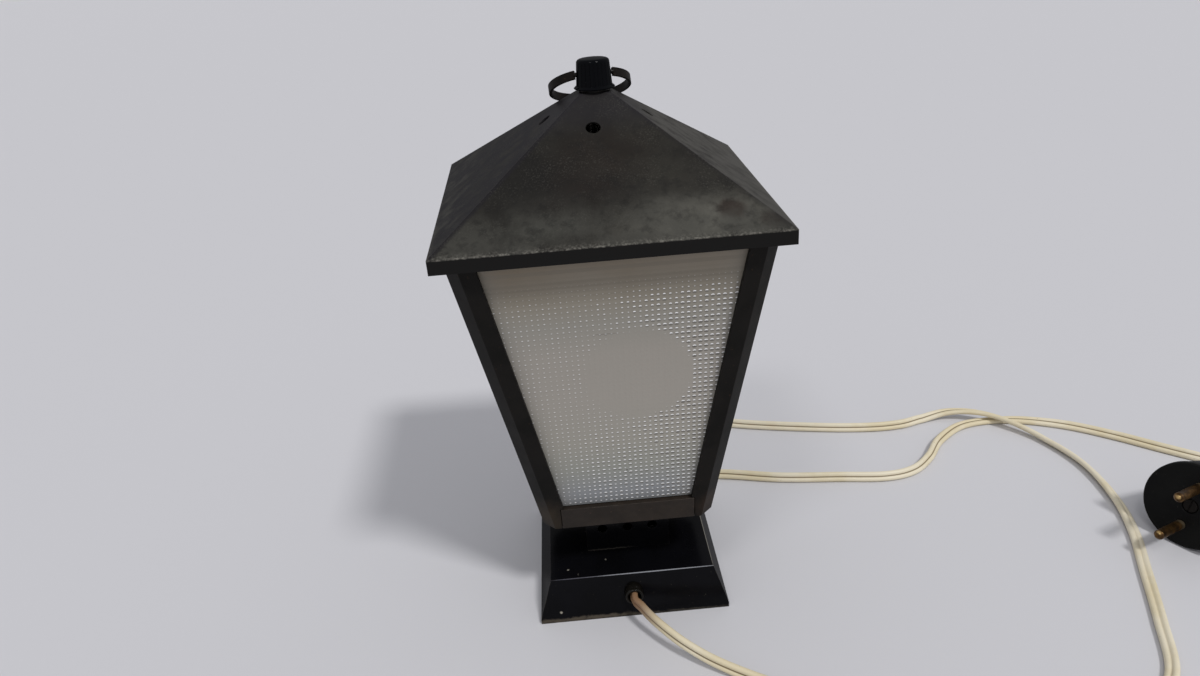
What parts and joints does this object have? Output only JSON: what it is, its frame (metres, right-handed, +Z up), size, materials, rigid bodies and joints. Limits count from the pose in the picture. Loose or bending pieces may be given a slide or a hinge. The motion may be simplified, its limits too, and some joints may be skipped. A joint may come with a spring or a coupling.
{
  "type": "table lamp",
  "caption": "Small lantern night lamp: tapered four-sided lantern with dotted panels and a pyramid roof, on a narrow neck and a low base, with a flat cord and plug.",
  "frame": {"origin": "middle of the lamp on the surface that it stands on, under the axis of its neck and roof stud", "axes": "+Z up along the lantern, -Y towards the front, where the cord leaves the base, +X to the right seen from the front"},
  "size_m": [0.3519, 0.2377, 0.2145],
  "materials": {
    "roof_steel": "mottled grey-brown patinated sheet steel with rust",
    "lantern_steel": "worn dark satin paint on bent sheet steel",
    "panel_plastic": "translucent off-white sheet with pressed dots",
    "neck_paint": "black satin paint",
    "base_plastic": "satin black moulded plastic, dusty and worn",
    "cover_board": "brown pressed board",
    "steel": "dull zinc-plated steel",
    "brass": "worn brass",
    "dark_steel": "worn bronze-grey strip steel",
    "knob_plastic": "glossy black moulded plastic",
    "ceramic": "cream insulating body",
    "bulb_glass": "opal glass",
    "bulb_cap": "rolled thread",
    "insulator": "black insulation round a solder contact",
    "cord_pvc": "aged cream twin flex",
    "bush_rubber": "dark brown bush",
    "plug_plastic": "matte black moulded plastic",
    "hardboard": "pressed brown insulating board"
  },
  "bodies": {
    "lamp": {"base_shell": "base_plastic", "base_cover": "cover_board", "cover_screws": "steel", "cord_bush": "bush_rubber", "cord_clamp": "hardboard", "clamp_screws": "steel", "neck_housing": "neck_paint", "neck_bolts": "steel", "neck_nuts": "steel", "floor_plate": "lantern_steel", "floor_screws": "steel", "floor_nuts": "steel", "rail_front": "lantern_steel", "rail_right": "lantern_steel", "rail_back": "lantern_steel", "rail_left": "lantern_steel", "post_front_left": "lantern_steel", "post_front_right": "lantern_steel", "post_back_right": "lantern_steel", "post_back_left": "lantern_steel", "panel_front": "panel_plastic", "panel_right": "panel_plastic", "panel_back": "panel_plastic", "panel_left": "panel_plastic", "top_frame": "lantern_steel", "top_strap": "lantern_steel", "strap_screws": "steel", "roof_stud": "steel", "stud_nuts": "steel", "holder_bracket": "steel", "holder_rivet": "brass", "holder_body": "ceramic", "screw_shell": "brass", "spring_contact": "brass", "holder_terminals": "brass", "inner_wires": "cord_pvc", "cord_to_coil": "cord_pvc", "cord_coil": "cord_pvc", "cord_to_plug": "cord_pvc", "plug_face": "plug_plastic", "plug_cover": "plug_plastic", "plug_pins": "brass", "plug_screw": "steel", "plug_sleeve": "bush_rubber"},
    "roof": {"roof": "roof_steel"},
    "washer": {"knob_washer": "dark_steel"},
    "knob": {"finial_knob": "knob_plastic", "knob_insert": "brass"},
    "ring": {"ring_bail": "dark_steel"},
    "bulb_foot": {"bulb_contact": "insulator"},
    "bulb": {"bulb_glass": "bulb_glass", "bulb_cap": "bulb_cap", "bulb_filament": "steel"}
  },
  "joints": [
    {"name": "roof_lift", "type": "slide", "parent": "lamp", "child": "roof", "axis": [0, 0, 1], "range_m": [0, 0.06]},
    {"name": "knob_rise", "type": "slide", "parent": "roof", "child": "washer", "axis": [0, 0, 1], "range_m": [0, 0.0081]},
    {"name": "knob_turn", "type": "hinge", "parent": "washer", "child": "knob", "pos_m": [0, 0, 0.209], "axis": [0, 0, 1], "range_deg": [0, 2880]},
    {"name": "ring_swing", "type": "hinge", "parent": "knob", "child": "ring", "pos_m": [0, 0, 0.209], "axis": [0.9945, 0.1045, 0], "range_deg": [0, 233]},
    {"name": "bulb_rise", "type": "slide", "parent": "lamp", "child": "bulb_foot", "axis": [0.1045, 0, 0.9945], "range_m": [0, 0.0114]},
    {"name": "bulb_turn", "type": "hinge", "parent": "bulb_foot", "child": "bulb", "pos_m": [0.00717, 0, 0.08967], "axis": [0.1045, 0, 0.9945], "range_deg": [0, 1440]}
  ],
  "couplings": [
    {"joint": "knob_rise", "follows": "knob_turn", "m_per_rad": 0.00015915},
    {"joint": "bulb_rise", "follows": "bulb_turn", "m_per_rad": 0.00044882}
  ]
}
